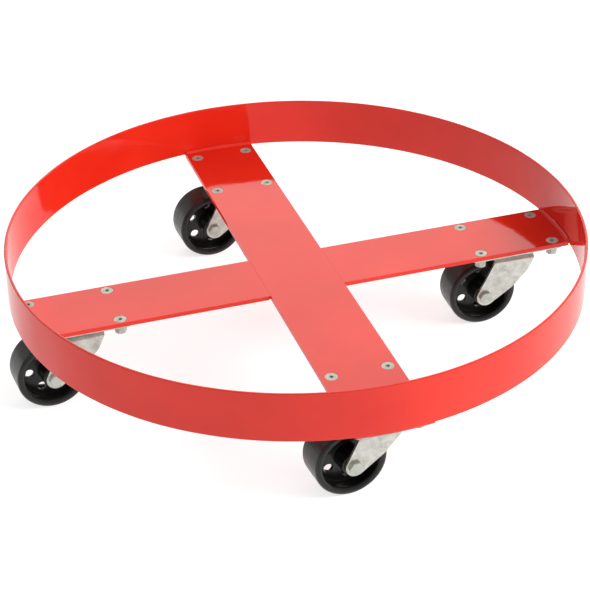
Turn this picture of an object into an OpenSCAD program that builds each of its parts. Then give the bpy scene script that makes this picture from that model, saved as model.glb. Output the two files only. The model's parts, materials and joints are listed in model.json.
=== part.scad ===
// Drum dolly: a rolled steel band around the ends of a flat-bar cross, which runs on
// four swivel casters. A drum's bottom rim rests on the cross, inside the band.
// Origin: on the floor below the centre of the band. X runs along the two side arms,
// Y along the long bar and +Z up.

/* [Frame] */
// Outside diameter of the band
band_od = 609.6; // [600:0.1:620]
// Thickness of the band
band_t = 2.7; // [2.5:0.1:4]
// Height of the band
band_h = 54; // [40:0.5:70]
// Width of the long bar of the cross
long_bar_w = 80.8; // [78:0.1:84]
// Width of the two side arms of the cross
arm_w = 76.4; // [74:0.1:80]
// Thickness of the flat bars
bar_t = 4.8; // [4.6:0.1:6]
// Size of the weld bevels where the side arms meet the long bar
bevel = 2.1; // [1.5:0.1:2.2]
// Height of the bars' top above the band's bottom edge
bar_rise = 1.5; // [1:0.1:2]

/* [Casters] */
// Distance from the centre of the band to each swivel axis
swivel_r = 242; // [235:0.1:243]
// Height from the floor to the caster's mounting face
caster_h = 94; // [93:0.1:105]
// How far each wheel trails behind its swivel axis
trail = 31.5; // [28:0.5:34]
// Length of the top plate, along the arm
plate_l = 104.8; // [100:0.1:106]
// Width of the top plate, across the arm
plate_w = 71; // [70:0.1:76]
// Thickness of the top plate
plate_t = 3; // [2.5:0.1:3.5]
// Bolt spacing along the arm
bolt_l = 84; // [83:0.1:87]
// Bolt spacing across the arm
bolt_w = 59; // [55:0.1:60]
// Direction that the front caster's wheel trails, turned from -X
front_yaw = 5; // [-180:0.1:180]
// Direction that the left caster's wheel trails, turned from -X
left_yaw = 4.4; // [-180:0.1:180]
// Direction that the back caster's wheel trails, turned from -X
back_yaw = 2.5; // [-180:0.1:180]
// Direction that the right caster's wheel trails, turned from -X
right_yaw = -1.2; // [-180:0.1:180]
// How far the front wheel is rolled about its axle
front_roll = 33; // [-180:0.5:180]
// How far the left wheel is rolled about its axle
left_roll = 4; // [-180:0.5:180]
// How far the back wheel is rolled about its axle
back_roll = 37.5; // [-180:0.5:180]
// How far the right wheel is rolled about its axle
right_roll = 33; // [-180:0.5:180]

/* [Wheels] */
// Diameter of the wheels
wheel_d = 76.2; // [74:0.1:77]
// Width of the tread
wheel_w = 37; // [32:0.1:37.5]
// Length of the wheel's hub
hub_l = 43.6; // [38:0.1:43.8]
// Diameter of the wheel's hub
hub_d = 24; // [20:0.5:26]
// Thickness of the web between hub and rim
web_t = 4; // [3:0.1:6]
// Number of holes through the web
web_holes = 6; // [3:1:8]
// Diameter of the holes through the web
web_hole_d = 9.6; // [6:0.1:12]
// Pitch circle diameter of the holes through the web
web_pcd = 44; // [40:0.5:46]
// Radius of the rounded tread shoulders
shoulder_r = 4; // [2:0.1:5]

/* [Forks] */
// Distance between the fork's two legs
fork_gap = 45; // [44.4:0.1:46]
// Thickness of the fork's steel
fork_t = 2.8; // [2.5:0.1:3]
// Radius of the round end of each leg
leg_end_r = 10.8; // [10:0.1:12]

/* [Fasteners] */
// Shank diameter of the mounting screws
screw_d = 6.35; // [6:0.05:6.35]
// Head diameter of the mounting screws
screw_head_d = 13.3; // [12:0.1:13.5]
// Shank diameter of the axle bolts
axle_d = 7.94; // [7:0.01:8]

/* [Hidden] */
$fn = 64;
// Segments of the large circles of the frame
ring_fn = 360;

red = "crimson";
zinc = "gainsboro";
steel = "darkgray";
black = "#202020";

// Small sizes: eps lets a cutter pass a face, fit parts a pin from its hole and
// overlap sinks a joined shape into the one it stands on
eps = 1;
fit = 0.06;
overlap = 0.5;

// Frame
band_r = band_od / 2;
band_in = band_r - band_t;
bar_top = caster_h + bar_t;
band_bottom = bar_top - bar_rise;
bar_end = band_in - fit;
bead_leg = 2.8;
low_bead_leg = 2.4;
bead_blunt = 0.05;
end_bevel = 1.2;
bead_proud = 0.8;
bead_margin = 1;
seam_r = 2;
seam_angle = 62;

// Casters: [centre x, centre y, yaw of the wheel, turn of the plate, roll of the wheel]
FRONT = [0, -swivel_r, front_yaw, 90, front_roll];
LEFT = [-swivel_r, 0, left_yaw, 0, left_roll];
BACK = [0, swivel_r, back_yaw, 90, back_roll];
RIGHT = [swivel_r, 0, right_yaw, 0, right_roll];
CASTERS = [FRONT, LEFT, BACK, RIGHT];

// Mounting screws
screw_r = screw_d / 2;
screw_sink = 0.15;
screw_head_h = 4;
screw_head_rim = 0.4;
socket_af = 4;
socket_depth = 2.4;
clear_hole_r = screw_r + 0.2;
plate_hole_r = 3.6;
plate_corner_r = 5;
washer_r = 6;
washer_t = 1.6;
washer_split = 1;
nut_af = 11.1;
nut_t = 5.6;
screw_tip = 1;
plate_bottom = caster_h - plate_t;
nut_top = plate_bottom - washer_t;
screw_end = nut_top - nut_t - 0.9;

// Swivel: two ball races, above and below the crown of the fork
king_r = 5;
king_head_r = 9;
king_foot_r = 8.5;
king_foot_h = 3;
crown_top = plate_bottom - 8;
crown_bottom = crown_top - fork_t;
crown_bore_r = king_r + 0.5;
race_step = 0.12;
upper_ball_r = 3;
upper_pitch_r = 14;
upper_ball_z = crown_top + 3.9;
upper_balls = 13;
race_half = 4.6;
plate_race_z = plate_bottom - 2.5;
crown_race_z = crown_top + 2.3;
lower_ball_r = 2.5;
lower_pitch_r = 10.5;
lower_ball_z = crown_bottom - 1.6;
lower_balls = 12;
lower_race_r = 15;
lower_race_top = crown_bottom - 2.6;
lower_race_bottom = crown_bottom - 6;
race_chamfer = 1;

// Fork, seen from the side: x = 0 is the swivel axis and the wheel trails towards -x
wheel_r = wheel_d / 2;
leg_in = fork_gap / 2;
leg_out = leg_in + fork_t;
bend_r = 6;
crown_front = -21.5;
crown_back = 24;
leg_end = [-trail + 1, wheel_r];
leg_back_low = [-0.6, 45.5];
leg_back_high = [16.7, 63.7];
leg_back_top = [crown_back, 78.5];
leg_front_top = [crown_front, crown_bottom];

// Axle
axle_r = axle_d / 2;
head_af = 12.7;
head_t = 3.8;
axle_nut_t = 6.7;
axle_nut_collar = 2;
axle_nut_collar_r = 5.75;
axle_tip = 1.5;
sleeve_r = 6.35;
bush_r = 9;
hub_fit = 0.02;

// Wheel profile
lip_r = 34;
floor_r = 31;
hub_chamfer = 1;
hub_root_r = hub_d / 2 + 1;

// ---- shared shapes ----

function tangent(p, c, r, side) =
    let (v = c - p, d = norm(v), a = atan2(v[1], v[0]) + side * acos(r / d))
    c - r * [cos(a), sin(a)];

module rounded_rect(l, w, r) {
    square([l - 2 * r, w], center = true);
    square([l, w - 2 * r], center = true);
    for (x = [-1, 1], y = [-1, 1])
        translate([x * (l / 2 - r), y * (w / 2 - r)]) circle(r);
}

module hexagon_prism(af, h) {
    cylinder(h = h, r = af / 2 / cos(30), $fn = 6);
}

module torus(pitch_r, r) {
    rotate_extrude() translate([pitch_r, 0]) circle(r);
}

module ball_ring(count, pitch_r, r, z) {
    for (i = [0:count - 1])
        rotate([0, 0, i * 360 / count]) translate([pitch_r, 0, z]) sphere(r);
}

// Children are drawn in a caster's own frame; the first turns with the wheel,
// the second with the arm
module swivelled(c) {
    translate([c[0], c[1], 0]) rotate([0, 0, c[2]]) children();
}

module on_arm(c) {
    translate([c[0], c[1], 0]) rotate([0, 0, c[3]]) children();
}

module on_axle(c) {
    swivelled(c) translate([-trail, 0, wheel_r]) rotate([90, 0, 0]) children();
}

module at_screws() {
    for (c = CASTERS) on_arm(c) at_plate_holes() children();
}

module at_plate_holes() {
    for (x = [-1, 1], y = [-1, 1])
        translate([x * bolt_l / 2, y * bolt_w / 2, 0]) children();
}

// ---- frame ----

module ring_band() {
    color(red) translate([0, 0, band_bottom]) difference() {
        cylinder(h = band_h, r = band_r, $fn = ring_fn);
        translate([0, 0, -eps]) cylinder(h = band_h + 2 * eps, r = band_in, $fn = ring_fn);
    }
}

module ring_seam_weld() {
    color(red) rotate([0, 0, seam_angle]) difference() {
        translate([band_r - seam_r + bead_proud, 0, band_bottom + bead_margin])
            cylinder(h = band_h - 2 * bead_margin, r = seam_r);
        translate([0, 0, band_bottom]) cylinder(h = band_h, r = band_r + fit, $fn = ring_fn);
    }
}

// Screw hole with the countersink that seats a flat head
module countersink() {
    translate([0, 0, caster_h - eps]) cylinder(h = bar_t + 2 * eps, r = clear_hole_r);
    translate([0, 0, bar_top - screw_sink]) screw_head(fit);
    translate([0, 0, bar_top - screw_sink]) cylinder(h = eps, r = screw_head_d / 2 + fit);
}

module screw_head(grow) {
    translate([0, 0, -screw_head_rim]) cylinder(h = screw_head_rim, r = screw_head_d / 2 + grow);
    translate([0, 0, -screw_head_h]) cylinder(
        h = screw_head_h - screw_head_rim, r1 = screw_r + grow, r2 = screw_head_d / 2 + grow);
}

// Flat bar from x = from to its round end against the band, bevelled on top for the weld
module bar_blank(from, width) {
    difference() {
        intersection() {
            translate([from, -width / 2, caster_h]) cube([bar_end - from, width, bar_t]);
            translate([0, 0, caster_h]) cylinder(h = bar_t, r = bar_end, $fn = ring_fn);
        }
        translate([0, 0, bar_top]) rotate_extrude($fn = ring_fn) translate([bar_end, 0])
            polygon([[-bead_leg, 0], [0, -end_bevel], [eps, -end_bevel], [eps, eps], [-bead_leg, eps]]);
    }
}

module long_cross_bar() {
    color(red) difference() {
        for (a = [90, 270]) rotate([0, 0, a]) bar_blank(0, long_bar_w);
        at_screws() countersink();
    }
}

module side_arm(a) {
    color(red) difference() {
        rotate([0, 0, a]) difference() {
            bar_blank(long_bar_w / 2 + fit, arm_w);
            translate([long_bar_w / 2 + fit, 0, caster_h]) rotate([90, 0, 0])
                linear_extrude(arm_w + 2 * eps, center = true) polygon([[0, 0], [bevel, 0], [0, bevel]]);
        }
        at_screws() countersink();
    }
}

module left_cross_arm() { side_arm(180); }

module right_cross_arm() { side_arm(0); }

// Butt welds under the cross, where the side arms meet the long bar
module hub_welds() {
    color(red) for (a = [0, 180]) rotate([0, 0, a])
        translate([long_bar_w / 2 + 2 * fit, 0, caster_h]) rotate([90, 0, 0])
            linear_extrude(arm_w - 2 * bead_margin, center = true)
                polygon([[0, bevel - 3 * fit], [bevel - 3 * fit, 0], [bevel, -bead_proud], [0, -bead_proud]]);
}

// Section of one weld: a fillet with legs of the given size round the origin, and a root below it
module bead_section(leg, root) {
    difference() {
        polygon([[0, -root], [3 * fit - leg, 0], [0, leg]]);
        translate([-2 * leg, 2 * leg]) circle(leg * sqrt(5) - bead_blunt);
    }
}

// The welds between the bars and the band: inside on top, and below the band on the bars' ends
module ring_welds() {
    color(red) for (a = [0:90:270]) {
        half = asin((a % 180 == 0 ? arm_w : long_bar_w) / 2 / band_in);
        rotate([0, 0, a - half]) {
            rotate_extrude(angle = 2 * half, $fn = ring_fn)
                translate([band_in - fit, bar_top + fit]) bead_section(bead_leg, end_bevel - fit);
            rotate_extrude(angle = 2 * half, $fn = ring_fn)
                translate([bar_end + fit, band_bottom - fit]) rotate(180) bead_section(low_bead_leg, 0);
        }
    }
}

// ---- fasteners of the caster plates ----

module mounting_screws() {
    color(zinc) at_screws() difference() {
        union() {
            translate([0, 0, bar_top - screw_sink]) screw_head(0);
            translate([0, 0, screw_end + screw_tip])
                cylinder(h = bar_top - screw_sink - screw_head_h - screw_end - screw_tip, r = screw_r);
            translate([0, 0, screw_end]) cylinder(h = screw_tip, r1 = screw_r - screw_tip / 2, r2 = screw_r);
        }
        translate([0, 0, bar_top - screw_sink - socket_depth]) hexagon_prism(socket_af, socket_depth + eps);
    }
}

module lock_washers() {
    color(zinc) at_screws() translate([0, 0, nut_top]) difference() {
        cylinder(h = washer_t, r = washer_r);
        translate([0, 0, -eps]) cylinder(h = washer_t + 2 * eps, r = clear_hole_r);
        translate([0, -washer_split / 2, -eps]) cube([washer_r + eps, washer_split, washer_t + 2 * eps]);
    }
}

module mounting_nuts() {
    color(zinc) at_screws() translate([0, 0, nut_top - nut_t]) difference() {
        intersection() {
            hexagon_prism(nut_af, nut_t);
            union() {
                translate([0, 0, -nut_af / 2]) cylinder(h = nut_af, r1 = 0, r2 = nut_af);
                cylinder(h = nut_t, r = nut_af / 2);
            }
        }
        translate([0, 0, -eps]) cylinder(h = nut_t + 2 * eps, r = screw_r + fit);
    }
}

// ---- caster ----

module top_plate(c) {
    color(zinc) on_arm(c) difference() {
        union() {
            translate([0, 0, plate_bottom]) linear_extrude(plate_t)
                rounded_rect(plate_l, plate_w, plate_corner_r);
            translate([0, 0, plate_race_z]) cylinder(
                h = plate_bottom - plate_race_z + overlap, r = upper_pitch_r + race_half);
        }
        translate([0, 0, upper_ball_z]) torus(upper_pitch_r, upper_ball_r + race_step);
        translate([0, 0, plate_race_z - eps]) cylinder(h = plate_t + 2 * race_half, r = king_r + fit);
        translate([0, 0, plate_bottom]) cylinder(h = plate_t, r1 = king_r + fit, r2 = king_head_r + fit);
        at_plate_holes() translate([0, 0, plate_bottom - eps])
            cylinder(h = plate_t + 2 * eps, r = plate_hole_r);
    }
}

module kingpin(c) {
    color(zinc) on_arm(c) {
        translate([0, 0, plate_bottom]) cylinder(h = plate_t, r1 = king_r, r2 = king_head_r);
        translate([0, 0, lower_race_bottom]) cylinder(h = plate_bottom - lower_race_bottom, r = king_r);
        intersection() {
            translate([0, 0, lower_race_bottom - king_foot_h]) cylinder(h = king_foot_h, r = king_foot_r);
            translate([0, 0, lower_race_bottom + king_foot_r]) sphere(king_foot_r + king_foot_h);
        }
    }
}

module lower_race(c) {
    color(zinc) on_arm(c) difference() {
        union() {
            translate([0, 0, lower_race_bottom + race_chamfer]) cylinder(
                h = lower_race_top - lower_race_bottom - race_chamfer, r = lower_race_r);
            translate([0, 0, lower_race_bottom]) cylinder(
                h = race_chamfer, r1 = lower_race_r - race_chamfer, r2 = lower_race_r);
        }
        translate([0, 0, lower_ball_z]) torus(lower_pitch_r, lower_ball_r + race_step);
        translate([0, 0, lower_race_bottom - eps]) cylinder(h = fork_gap, r = king_r + fit);
    }
}

module upper_ball_set(c) {
    color(steel) swivelled(c) ball_ring(upper_balls, upper_pitch_r, upper_ball_r, upper_ball_z);
}

module lower_ball_set(c) {
    color(steel) swivelled(c) ball_ring(lower_balls, lower_pitch_r, lower_ball_r, lower_ball_z);
}

// Arch of bent plate, seen along the fork
module fork_section() {
    difference() {
        fork_arch(leg_out, crown_top, bend_r);
        fork_arch(leg_in, crown_bottom, bend_r - fork_t);
    }
}

module fork_arch(half, top, r) {
    translate([-half, 0]) square([2 * half, top - r]);
    translate([r - half, 0]) square([2 * (half - r), top]);
    for (x = [-1, 1]) translate([x * (half - r), top - r]) circle(r);
}

// Side outline of the fork: crown, tapered legs and their round ends
module fork_outline() {
    polygon([
        [crown_front, crown_top + eps],
        leg_front_top,
        tangent(leg_front_top, leg_end, leg_end_r, 1),
        leg_end,
        tangent(leg_back_low, leg_end, leg_end_r, -1),
        leg_back_low,
        leg_back_high,
        leg_back_top,
        [crown_back, crown_top + eps]
    ]);
    translate(leg_end) circle(leg_end_r);
}

module fork(c) {
    color(zinc) swivelled(c) difference() {
        union() {
            intersection() {
                rotate([90, 0, 90]) linear_extrude(2 * (trail + wheel_r), center = true) fork_section();
                rotate([90, 0, 0]) linear_extrude(2 * fork_gap, center = true) fork_outline();
            }
            translate([0, 0, crown_top - overlap]) cylinder(
                h = crown_race_z - crown_top + overlap, r = upper_pitch_r + race_half);
        }
        translate([0, 0, upper_ball_z]) torus(upper_pitch_r, upper_ball_r + race_step);
        translate([0, 0, lower_ball_z]) torus(lower_pitch_r, lower_ball_r + race_step);
        translate([0, 0, crown_bottom - eps]) cylinder(h = fork_gap, r = crown_bore_r);
        translate([-trail, 0, wheel_r]) rotate([90, 0, 0])
            cylinder(h = 2 * fork_gap, r = axle_r + fit, center = true);
    }
}

module axle_bolt(c) {
    color(zinc) on_axle(c) {
        translate([0, 0, leg_out]) intersection() {
            hexagon_prism(head_af, head_t);
            translate([0, 0, head_t - head_af]) cylinder(h = head_af, r1 = 1.5 * head_af, r2 = head_af / 2);
        }
        translate([0, 0, -leg_out - axle_nut_t - axle_tip])
            cylinder(h = 2 * leg_out + axle_nut_t + axle_tip, r = axle_r);
    }
}

module axle_nut(c) {
    color(zinc) on_axle(c) translate([0, 0, -leg_out - axle_nut_t]) difference() {
        union() {
            translate([0, 0, axle_nut_collar]) hexagon_prism(head_af, axle_nut_t - axle_nut_collar);
            cylinder(h = axle_nut_t, r = axle_nut_collar_r);
        }
        translate([0, 0, -eps]) cylinder(h = axle_nut_t + 2 * eps, r = axle_r + fit);
    }
}

module axle_sleeve(c) {
    color(steel) on_axle(c) tube(fork_gap, axle_r + fit, sleeve_r);
}

module wheel_bushing(c) {
    color(steel) on_axle(c) tube(hub_l, sleeve_r + fit, bush_r);
}

module tube(l, r_in, r_out) {
    difference() {
        cylinder(h = l, r = r_out, center = true);
        cylinder(h = l + 2 * eps, r = r_in, center = true);
    }
}

// Half section of the wheel: x is the radius and y the distance from its mid-plane
module wheel_section() {
    side = wheel_w / 2;
    shoulder_x = wheel_r - shoulder_r;
    polygon([
        [floor_r, -web_t / 2], [lip_r, -side], [shoulder_x, -side], [wheel_r, shoulder_r - side],
        [wheel_r, side - shoulder_r], [shoulder_x, side], [lip_r, side], [floor_r, web_t / 2]
    ]);
    for (y = [-1, 1]) translate([shoulder_x, y * (side - shoulder_r)]) circle(shoulder_r);
    translate([bush_r, -web_t / 2]) square([floor_r - bush_r + eps, web_t]);
    polygon([
        [bush_r, -hub_l / 2], [hub_d / 2 - hub_chamfer, -hub_l / 2], [hub_d / 2, hub_chamfer - hub_l / 2],
        [hub_root_r, -web_t / 2], [hub_root_r, web_t / 2],
        [hub_d / 2, hub_l / 2 - hub_chamfer], [hub_d / 2 - hub_chamfer, hub_l / 2], [bush_r, hub_l / 2]
    ]);
}

module wheel(c) {
    color(black) on_axle(c) difference() {
        rotate_extrude() wheel_section();
        cylinder(h = 2 * hub_l, r = bush_r + hub_fit, center = true);
        for (i = [0:web_holes - 1])
            rotate([0, 0, c[4] + i * 360 / web_holes]) translate([web_pcd / 2, 0, 0])
                cylinder(h = 2 * web_t, d = web_hole_d, center = true);
    }
}

ring_band();
ring_seam_weld();
long_cross_bar();
left_cross_arm();
right_cross_arm();
hub_welds();
ring_welds();
mounting_screws();
lock_washers();
mounting_nuts();
top_plate(FRONT);  // front_top_plate
kingpin(FRONT);  // front_kingpin
lower_race(FRONT);  // front_lower_race
upper_ball_set(FRONT);  // front_upper_balls
lower_ball_set(FRONT);  // front_lower_balls
fork(FRONT);  // front_fork
axle_bolt(FRONT);  // front_axle_bolt
axle_nut(FRONT);  // front_axle_nut
axle_sleeve(FRONT);  // front_axle_sleeve
wheel(FRONT);  // front_wheel
wheel_bushing(FRONT);  // front_wheel_bushing
top_plate(LEFT);  // left_top_plate
kingpin(LEFT);  // left_kingpin
lower_race(LEFT);  // left_lower_race
upper_ball_set(LEFT);  // left_upper_balls
lower_ball_set(LEFT);  // left_lower_balls
fork(LEFT);  // left_fork
axle_bolt(LEFT);  // left_axle_bolt
axle_nut(LEFT);  // left_axle_nut
axle_sleeve(LEFT);  // left_axle_sleeve
wheel(LEFT);  // left_wheel
wheel_bushing(LEFT);  // left_wheel_bushing
top_plate(BACK);  // back_top_plate
kingpin(BACK);  // back_kingpin
lower_race(BACK);  // back_lower_race
upper_ball_set(BACK);  // back_upper_balls
lower_ball_set(BACK);  // back_lower_balls
fork(BACK);  // back_fork
axle_bolt(BACK);  // back_axle_bolt
axle_nut(BACK);  // back_axle_nut
axle_sleeve(BACK);  // back_axle_sleeve
wheel(BACK);  // back_wheel
wheel_bushing(BACK);  // back_wheel_bushing
top_plate(RIGHT);  // right_top_plate
kingpin(RIGHT);  // right_kingpin
lower_race(RIGHT);  // right_lower_race
upper_ball_set(RIGHT);  // right_upper_balls
lower_ball_set(RIGHT);  // right_lower_balls
fork(RIGHT);  // right_fork
axle_bolt(RIGHT);  // right_axle_bolt
axle_nut(RIGHT);  // right_axle_nut
axle_sleeve(RIGHT);  // right_axle_sleeve
wheel(RIGHT);  // right_wheel
wheel_bushing(RIGHT);  // right_wheel_bushing
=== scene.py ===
"""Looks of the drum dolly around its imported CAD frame. Metres, +Z up, origin on the floor."""
import json
import math
import random

import bpy
from mathutils import Matrix, Vector


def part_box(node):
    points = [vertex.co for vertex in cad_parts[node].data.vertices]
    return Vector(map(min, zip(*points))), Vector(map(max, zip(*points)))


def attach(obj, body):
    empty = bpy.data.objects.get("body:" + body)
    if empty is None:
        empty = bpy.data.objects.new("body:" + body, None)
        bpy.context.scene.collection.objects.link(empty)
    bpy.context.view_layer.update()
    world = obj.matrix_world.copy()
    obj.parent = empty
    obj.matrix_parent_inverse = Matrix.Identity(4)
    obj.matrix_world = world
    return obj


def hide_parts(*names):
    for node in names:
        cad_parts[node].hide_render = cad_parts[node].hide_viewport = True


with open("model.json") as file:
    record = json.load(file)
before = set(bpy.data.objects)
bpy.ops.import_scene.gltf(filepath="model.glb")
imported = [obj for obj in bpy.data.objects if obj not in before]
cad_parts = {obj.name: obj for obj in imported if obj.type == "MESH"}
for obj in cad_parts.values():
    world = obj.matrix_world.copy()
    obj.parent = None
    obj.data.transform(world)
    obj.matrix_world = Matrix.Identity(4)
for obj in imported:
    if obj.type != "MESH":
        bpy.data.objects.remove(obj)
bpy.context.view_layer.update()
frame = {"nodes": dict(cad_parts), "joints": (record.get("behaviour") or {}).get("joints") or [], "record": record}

# gap between the ends of the bars and the band's inner wall
FIT = 0.00006
BAND_LOW, BAND_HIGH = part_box("ring_band")
BAND_R = max(BAND_HIGH.x, BAND_HIGH.y, -BAND_LOW.x, -BAND_LOW.y)
BAR_LOW, BAR_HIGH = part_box("long_cross_bar")
BAND_IN = BAR_HIGH.y + FIT
ARM_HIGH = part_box("right_cross_arm")[1]


# ---------------------------------------------------------------- materials

class Shader:
    """A material's node tree, with one Principled shader."""

    def __init__(self, name, **constants):
        self.material = bpy.data.materials.new(name)
        self.material.use_nodes = True
        self.tree = self.material.node_tree
        self.nodes = self.tree.nodes
        self.bsdf = self.nodes["Principled BSDF"]
        self.place = self.nodes.new("ShaderNodeTexCoord").outputs["Object"]
        for socket, value in constants.items():
            self.bsdf.inputs[socket.replace("_", " ")].default_value = value

    def link(self, output, socket):
        self.tree.links.new(output, socket)

    def noise(self, scale, detail=3.0, roughness=0.5, distortion=0.0):
        """Noise in 0..1 with features about 1/scale metres across."""
        node = self.nodes.new("ShaderNodeTexNoise")
        node.inputs["Scale"].default_value = scale
        node.inputs["Detail"].default_value = detail
        node.inputs["Roughness"].default_value = roughness
        node.inputs["Distortion"].default_value = distortion
        self.link(self.place, node.inputs["Vector"])
        return node.outputs["Fac"]

    def crystals(self, scale):
        """A random value in 0..1 for each grain, about 1/scale metres across."""
        node = self.nodes.new("ShaderNodeTexVoronoi")
        node.inputs["Scale"].default_value = scale
        self.link(self.place, node.inputs["Vector"])
        split = self.nodes.new("ShaderNodeSeparateColor")
        self.link(node.outputs["Color"], split.inputs["Color"])
        return split.outputs["Red"]

    def spread(self, value, low, high, out_low=0.0, out_high=1.0):
        """Maps low..high onto out_low..out_high and clamps."""
        node = self.nodes.new("ShaderNodeMapRange")
        names = ("From Min", "From Max", "To Min", "To Max")
        for name, number in zip(names, (low, high, out_low, out_high)):
            node.inputs[name].default_value = number
        self.link(value, node.inputs["Value"])
        return node.outputs["Result"]

    def mix(self, factor, a, b):
        """Colour between a and b, each a colour or a socket."""
        node = self.nodes.new("ShaderNodeMix")
        node.data_type = "RGBA"
        self.link(factor, node.inputs["Factor"])
        for socket, value in ((node.inputs[6], a), (node.inputs[7], b)):
            if isinstance(value, bpy.types.NodeSocket):
                self.link(value, socket)
            else:
                socket.default_value = (*value, 1)
        return node.outputs[2]

    def bump(self, height, distance, normal=None):
        """Normals bent by a height in 0..1 times distance metres, on top of other bent normals."""
        node = self.nodes.new("ShaderNodeBump")
        node.inputs["Strength"].default_value = 1.0
        node.inputs["Distance"].default_value = distance
        self.link(height, node.inputs["Height"])
        if normal:
            self.link(normal, node.inputs["Normal"])
        return node.outputs["Normal"]

    def set(self, name, socket):
        self.link(socket, self.bsdf.inputs[name])


def red_powder_coat():
    """Glossy red coat: one clear skin over a pigment layer, with orange peel and faint dust."""
    s = Shader(
        "red_powder_coat", Specular_IOR_Level=0.0, Coat_Weight=0.8, Coat_Roughness=0.07, Coat_IOR=1.5)
    tone = s.spread(s.noise(9, 4), 0.35, 0.65)
    paint = s.mix(tone, (0.62, 0.016, 0.006), (0.70, 0.022, 0.009))
    nib = s.spread(s.noise(260, 2, 0.7), 0.72, 0.78, 0.0, 0.35)
    s.set("Base Color", s.mix(nib, paint, (0.42, 0.010, 0.006)))
    s.set("Roughness", s.spread(s.noise(60, 3), 0.3, 0.7, 0.5, 0.7))
    waves = s.bump(s.noise(22, 2), 0.0003)
    peel = s.bump(s.noise(420, 2), 0.000012, waves)
    s.set("Normal", peel)
    s.set("Coat Normal", peel)
    return s.material


def zinc_plate(name, pale, dark, low, high, metallic):
    """Bright zinc plating: cloudy grey with grains of different brightness."""
    s = Shader(name, Metallic=metallic)
    cloud = s.spread(s.noise(110, 5, 0.62, distortion=0.4), 0.34, 0.66)
    grain = s.spread(s.crystals(420), 0.0, 1.0, 0.0, 0.45)
    metal = s.mix(cloud, dark, pale)
    metal = s.mix(grain, metal, [0.6 * (a + b) for a, b in zip(pale, dark)])
    stain = s.spread(s.noise(38, 4, 0.6), 0.52, 0.75, 0.0, 0.5)
    s.set("Base Color", s.mix(stain, metal, (0.36, 0.37, 0.33)))
    s.set("Roughness", s.spread(s.noise(150, 4, 0.65), 0.3, 0.7, low, high))
    fine = s.bump(s.noise(1500, 3, 0.7), 0.00002)
    pits = s.bump(s.crystals(420), 0.000015, fine)
    s.set("Normal", s.bump(s.noise(90, 3), 0.00018, pits))
    return s.material


def bearing_steel():
    """Polished steel of the balls, bushings and sleeves."""
    s = Shader("bearing_steel", Metallic=1.0)
    shade = s.spread(s.noise(300), 0.3, 0.7)
    s.set("Base Color", s.mix(shade, (0.42, 0.42, 0.43), (0.52, 0.52, 0.52)))
    s.set("Roughness", s.spread(s.noise(500, 3), 0.3, 0.7, 0.12, 0.26))
    s.set("Normal", s.bump(s.noise(900, 2), 0.000006))
    return s.material


def black_hard_rubber():
    """Moulded black wheel: a dull gloss with faint dust and fine pores."""
    s = Shader(
        "black_hard_rubber", IOR=1.5, Specular_IOR_Level=0.22, Coat_Weight=0.3, Coat_Roughness=0.13)
    dust = s.spread(s.noise(45, 6, 0.65), 0.42, 0.85)
    skin = s.mix(dust, (0.004, 0.0047, 0.004), (0.016, 0.0165, 0.014))
    speck = s.spread(s.noise(700, 2, 0.6), 0.70, 0.76, 0.0, 0.6)
    s.set("Base Color", s.mix(speck, skin, (0.05, 0.049, 0.045)))
    s.set("Roughness", s.spread(s.noise(160, 5, 0.6), 0.3, 0.7, 0.28, 0.46))
    pores = s.bump(s.noise(900, 3, 0.6), 0.00002)
    s.set("Normal", s.bump(s.noise(70, 2), 0.0002, pores))
    return s.material


# one for each material slot of the record
MATERIALS = {
    "red_paint": red_powder_coat(),
    "zinc_plate": zinc_plate(
        "zinc_sheet", (0.60, 0.60, 0.55), (0.37, 0.37, 0.335), 0.26, 0.44, 0.9),
    "zinc_fasteners": zinc_plate(
        "zinc_screws", (0.50, 0.54, 0.47), (0.34, 0.37, 0.32), 0.42, 0.6, 0.5),
    "ball_steel": bearing_steel(),
    "black_wheel": black_hard_rubber(),
}


# ---------------------------------------------------------------- CAD nodes

MERGE_DISTANCE = 0.000005
FLAT_ANGLE = 0.4
SHARP_ANGLE = 32
EDGE_SEGMENTS = 3


def soften(obj, width):
    """Rounds a CAD node's sharp edges with modifiers, which leave its own mesh as it is."""
    weld = obj.modifiers.new("weld", "WELD")
    weld.merge_threshold = MERGE_DISTANCE
    flat = obj.modifiers.new("flat", "DECIMATE")
    flat.decimate_type = "DISSOLVE"
    flat.angle_limit = math.radians(FLAT_ANGLE)
    bevel = obj.modifiers.new("bevel", "BEVEL")
    bevel.width = width
    bevel.segments = EDGE_SEGMENTS
    bevel.limit_method = "ANGLE"
    bevel.angle_limit = math.radians(SHARP_ANGLE)
    bevel.use_clamp_overlap = True
    normals = obj.modifiers.new("normals", "WEIGHTED_NORMAL")
    normals.keep_sharp = False


SLOTS = {row["node"]: row["material_slot"] for row in frame["record"]["subparts"]}
# edge radius for a word in the node's name; the first word found counts
SOFT_EDGES = {
    "bar": 0.0006, "arm": 0.0006, "fork": 0.0006, "plate": 0.0006, "wheel": 0.0005,
    "mounting_screws": 0.00018, "nuts": 0.0003, "axle_bolt": 0.0004, "axle_nut": 0.0003,
}
for node, obj in frame["nodes"].items():
    obj.material_slots[0].material = MATERIALS[SLOTS[node]]
    width = next((w for word, w in SOFT_EDGES.items() if word in node), 0)
    if width and "bushing" not in node:
        soften(obj, width)


# ---------------------------------------------------------------- new pieces

def new_piece(name, verts, faces, body, slot, *stands_for):
    """A smooth piece that rides a body and takes the place of the named CAD nodes, if any."""
    mesh = bpy.data.meshes.new(name)
    mesh.from_pydata(verts, [], faces)
    mesh.shade_smooth()
    obj = bpy.data.objects.new(name, mesh)
    bpy.context.scene.collection.objects.link(obj)
    mesh.materials.append(MATERIALS[slot])
    normals = obj.modifiers.new("normals", "WEIGHTED_NORMAL")
    normals.keep_sharp = False
    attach(obj, body)
    if stands_for:
        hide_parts(*stands_for)
    return obj


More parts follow.
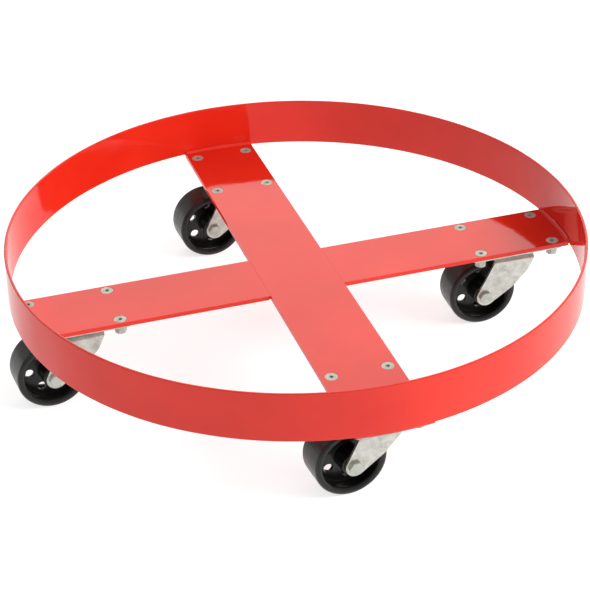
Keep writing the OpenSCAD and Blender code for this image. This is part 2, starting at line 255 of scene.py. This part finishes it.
def skin(sections, closed):
    """Vertices and faces of a tube through equal closed sections, with end caps unless closed."""
    n, count = len(sections[0]), len(sections)
    verts = [v for section in sections for v in section]
    faces = []
    for i in range(count if closed else count - 1):
        a, b = i * n, (i + 1) % count * n
        faces += [(a + j, a + (j + 1) % n, b + (j + 1) % n, b + j) for j in range(n)]
    if not closed:
        faces += [tuple(reversed(range(n))), tuple(range((count - 1) * n, count * n))]
    return verts, faces


BAND_SEGMENTS = 720
BAND_EDGE = 0.0010
EDGE_STEP = 18
# waves of the rolled wall: times round the band, height in metres and phase
WAVES = ((7, 0.00007, 0.6), (19, 0.00004, 2.1), (47, 0.00002, 0))


def band_profile():
    """Points (radius, height) round the band's section, with rounded mill edges."""
    points = []
    outer, inner = BAND_R - BAND_EDGE, BAND_IN + BAND_EDGE
    low, high = BAND_LOW.z + BAND_EDGE, BAND_HIGH.z - BAND_EDGE
    for r, z, start in ((outer, low, -90), (outer, high, 0), (inner, high, 90), (inner, low, 180)):
        for turn in range(0, 91, EDGE_STEP):
            a = math.radians(start + turn)
            points.append((r + BAND_EDGE * math.cos(a), z + BAND_EDGE * math.sin(a)))
    return points


def rolled_band():
    """The band, with the slight waves that rolling leaves in its wall."""
    sections = []
    profile = band_profile()
    for i in range(BAND_SEGMENTS):
        a = 2 * math.pi * i / BAND_SEGMENTS
        wave = sum(height * math.sin(times * a + phase) for times, height, phase in WAVES)
        sections.append([((r + wave) * math.cos(a), (r + wave) * math.sin(a), z) for r, z in profile])
    new_piece("rolled_band", *skin(sections, closed=True), "frame", "red_paint", "ring_band")


# weld beads, in metres: pitch and height of the ripples, step between sections, and the length
# over which the width wanders and the share that it wanders by
RIPPLE = 0.0021
RIPPLE_HEIGHT = 0.00032
RIPPLE_LAG = 0.55
RIPPLE_UNEVEN = 0.3
BEAD_STEP = 0.0003
BEAD_SIDES = 10
WANDER = 0.007
WANDER_SHARE = 0.13
# the ends taper to a small share of the size over a short run-out
RUN_OUT = 0.003
END_SHARE = 0.08
# how far the face bulges from a straight chord (0) towards a quarter circle (1)
DOME = 0.4


def bead(path, legs, seed):
    """Sections of a rippled fillet weld. path gives the corner, the directions of its two legs
    and the whole length, at a share t of the way; legs are the sizes of the two legs."""
    chance = random.Random(seed)
    length = path(0)[3]
    count = int(length / BEAD_STEP)
    drift = [chance.uniform(-1, 1) for _ in range(int(length / WANDER) + 3)]
    sections = []
    for i in range(count + 1):
        t = i / count
        corner, across, up, _ = path(t)
        s = t * length
        k, f = divmod(s / WANDER, 1)
        f = f * f * (3 - 2 * f)
        wander = 1 + WANDER_SHARE * (drift[int(k)] * (1 - f) + drift[int(k) + 1] * f)
        end = END_SHARE + (1 - END_SHARE) * math.sqrt(min(1.0, min(s, length - s) / RUN_OUT))
        a, b = legs[0] * wander * end, legs[1] * wander * end
        out = (across * b + up * a).normalized()
        section = [corner]
        for j in range(BEAD_SIDES + 1):
            u = j / BEAD_SIDES
            middle = 1 - (2 * u - 1) ** 2
            x = (1 - DOME) * (1 - u) + DOME * math.cos(u * math.pi / 2)
            y = (1 - DOME) * u + DOME * math.sin(u * math.pi / 2)
            # crescent ripples: the middle of the face lags behind its edges
            phase = (s / RIPPLE - RIPPLE_LAG * middle + RIPPLE_UNEVEN * drift[int(k)]) % 1
            crest = RIPPLE_HEIGHT * middle * phase * (1 - phase ** 6) * end
            section.append(corner + across * (a * x) + up * (b * y) + out * crest)
        sections.append(section)
    return sections


def arc_path(angle, half, z, side, rise):
    """The corner at height z along the band's inner wall, half an angle to each side of an arm.
    One leg goes inwards (side -1) or outwards (1), and the other up (rise 1) or down (-1)."""

    def path(t):
        a = angle + half * (2 * t - 1)
        out = Vector((math.cos(a), math.sin(a), 0))
        corner = out * BAND_IN + Vector((0, 0, z))
        return corner, out * side, Vector((0, 0, rise)), 2 * half * BAND_IN
    return path


def line_path(start, end, across, up):
    """A straight corner from start to end, with legs in the directions across and up."""

    def path(t):
        return start.lerp(end, t), across, up, (end - start).length
    return path


def join(beads):
    """Vertices and faces of several beads as one mesh."""
    verts, faces = [], []
    for sections in beads:
        v, f = skin(sections, closed=False)
        faces += [tuple(i + len(verts) for i in face) for face in f]
        verts += v
    return verts, faces


# sizes of the weld beads' two legs
TOP_LEGS = (0.0036, 0.0039)
LOW_LEGS = (0.0023, 0.0026)
HUB_LEGS = (0.0022, 0.0022)
SEAM_LEGS = (0.0020, 0.0020)
# how far the top beads start below the bars' top, and the angle that they run past each side
TOP_SINK = 0.0011
TOP_PAST = 0.0035


def ring_beads():
    """Top fillets inside the band and small ones below it, at the ends of the four bars."""
    beads = []
    for i in range(4):
        angle = i * math.pi / 2
        half = math.asin((BAR_HIGH.x if i % 2 else ARM_HIGH.y) / BAND_IN)
        top = arc_path(angle, half + TOP_PAST, BAR_HIGH.z - TOP_SINK, -1, 1)
        low = arc_path(angle, half, BAND_LOW.z, 1, -1)
        beads += [bead(top, TOP_LEGS, 20 + i), bead(low, LOW_LEGS, 40 + i)]
    new_piece("ring_weld_beads", *join(beads), "frame", "red_paint", "ring_welds")


HUB_MARGIN = 0.001
HUB_SINK = 0.0009
HUB_LEG = Vector((0.78, 0, -0.62))


def hub_beads():
    """Butt welds under the centre of the cross, along the long bar's two edges."""
    beads = []
    y, z = ARM_HIGH.y - HUB_MARGIN, BAR_LOW.z + HUB_SINK
    for side in (-1, 1):
        x = side * (BAR_HIGH.x + HUB_MARGIN)
        left_leg = Vector((-HUB_LEG.x, 0, HUB_LEG.z))
        path = line_path(Vector((x, -y, z)), Vector((x, y, z)), left_leg, HUB_LEG)
        beads.append(bead(path, HUB_LEGS, 60 + side))
    new_piece("hub_weld_beads", *join(beads), "frame", "red_paint", "hub_welds")


SEAM_SINK = 0.0006
SEAM_SPREAD, SEAM_RISE = 0.85, 0.5


def seam_bead():
    """The upright weld where the two ends of the rolled band meet."""
    low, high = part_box("ring_seam_weld")
    middle = (low + high) / 2
    out = Vector((middle.x, middle.y, 0)).normalized()
    along = Vector((-out.y, out.x, 0))
    foot = out * (BAND_R - SEAM_SINK)
    path = line_path(
        foot + Vector((0, 0, low.z)), foot + Vector((0, 0, high.z)),
        along * SEAM_SPREAD + out * SEAM_RISE, along * -SEAM_SPREAD + out * SEAM_RISE)
    new_piece(
        "seam_weld_bead", *join([bead(path, SEAM_LEGS, 80)]), "frame", "red_paint", "ring_seam_weld")


MOULD_SEGMENTS = 240
MOULD_HEIGHT = 0.00008
MOULD_HALF = 0.0003


def mould_lines():
    """The thin raised line that the mould's halves leave round each tread."""
    # section of the line: height above the tread and place across it
    section = (
        (-MOULD_HEIGHT, -MOULD_HALF), (MOULD_HEIGHT / 2, -MOULD_HALF / 2), (MOULD_HEIGHT, 0),
        (MOULD_HEIGHT / 2, MOULD_HALF / 2), (-MOULD_HEIGHT, MOULD_HALF),
    )
    up = Vector((0, 0, 1))
    for joint in frame["joints"]:
        if not joint["name"].endswith("wheel_spin"):
            continue
        side = joint["name"].split("_")[0]
        axis, centre = Vector(joint["axis"]), Vector(joint["pos_m"])
        radius = centre.z
        across = axis.cross(up)
        sections = []
        for i in range(MOULD_SEGMENTS):
            a = 2 * math.pi * i / MOULD_SEGMENTS
            out = across * math.cos(a) + up * math.sin(a)
            sections.append([centre + out * (radius + height) + axis * place for height, place in section])
        new_piece(
            f"{side}_wheel_mould_line", *skin(sections, closed=True), f"{side}_roller", "black_wheel")


rolled_band()
ring_beads()
hub_beads()
seam_bead()
mould_lines()


# ---------------------------------------------------------------- stage

FLOOR_HALF = 30


def pale_floor():
    """A floor that glows a little, so that it stays nearly white between soft shadows."""
    mesh = bpy.data.meshes.new("floor")
    corners = [(x * FLOOR_HALF, y * FLOOR_HALF, 0) for x, y in ((-1, -1), (1, -1), (1, 1), (-1, 1))]
    mesh.from_pydata(corners, [], [(0, 1, 2, 3)])
    floor = bpy.data.objects.new("floor", mesh)
    bpy.context.scene.collection.objects.link(floor)
    s = Shader("pale_floor", Roughness=0.9, Specular_IOR_Level=0.0, Emission_Strength=0.71)
    s.bsdf.inputs["Emission Color"].default_value = (1, 1, 1, 1)
    shade = s.spread(s.noise(3), 0.3, 0.7)
    s.set("Base Color", s.mix(shade, (0.47, 0.47, 0.47), (0.48, 0.48, 0.48)))
    mesh.materials.append(s.material)


LAMPS = (
    # name, place, width, height, watts, colour
    ("backdrop", (0.9, 3.2, 2.05), 3.6, 2.2, 43, (1, 0.97, 0.90)),
    ("key", (1.75, -1.05, 1.15), 1.1, 1.1, 57, (1, 1, 1)),
    ("fill", (-2.6, -0.8, 1.9), 1.6, 1.6, 2, (1, 1, 1)),
)


WORLD_STRENGTH = 0.60


def studio_light():
    """An even white surround, and large lamps aimed at the origin. The camera sees none of the
    lamps, and the key isn't mirrored either, since it would burn out an arm from behind."""
    world = bpy.data.worlds.new("studio")
    bpy.context.scene.world = world
    world.use_nodes = True
    background = world.node_tree.nodes["Background"]
    background.inputs["Color"].default_value = (1, 1, 1, 1)
    background.inputs["Strength"].default_value = WORLD_STRENGTH
    for name, place, width, height, power, tint in LAMPS:
        lamp = bpy.data.lights.new(name, "AREA")
        lamp.shape = "RECTANGLE"
        lamp.size = width
        lamp.size_y = height
        lamp.energy = power
        lamp.color = tint
        obj = bpy.data.objects.new(name, lamp)
        obj.location = place
        obj.rotation_euler = (-Vector(place)).to_track_quat("-Z", "Y").to_euler()
        obj.visible_camera = False
        obj.visible_glossy = name != "key"
        bpy.context.scene.collection.objects.link(obj)


# angles in degrees, distance in metres and lens in millimetres
CAMERA_AZIMUTH = -17.659
CAMERA_ELEVATION = 31.879
CAMERA_ROLL = -0.844
CAMERA_DISTANCE = 2.0836
CAMERA_LENS = 118.47
CAMERA_SENSOR = 36
CAMERA_AIM = Vector((-0.0019, 0, BAR_HIGH.z - 0.0292))


def camera():
    """The photo's view: azimuth 0 looks from the front, and a positive one from the right of it."""
    data = bpy.data.cameras.new("camera")
    data.sensor_width = CAMERA_SENSOR
    data.lens = CAMERA_LENS
    obj = bpy.data.objects.new("camera", data)
    a, e = math.radians(CAMERA_AZIMUTH), math.radians(CAMERA_ELEVATION)
    back = Vector((math.sin(a) * math.cos(e), -math.cos(a) * math.cos(e), math.sin(e)))
    turn = (-back).to_track_quat("-Z", "Y").to_matrix().to_4x4()
    obj.matrix_world = (
        Matrix.Translation(CAMERA_AIM + back * CAMERA_DISTANCE)
        @ turn @ Matrix.Rotation(math.radians(CAMERA_ROLL), 4, "Z")
    )
    bpy.context.scene.collection.objects.link(obj)
    bpy.context.scene.camera = obj


pale_floor()
studio_light()
camera()
bpy.context.scene.view_settings.view_transform = "Standard"
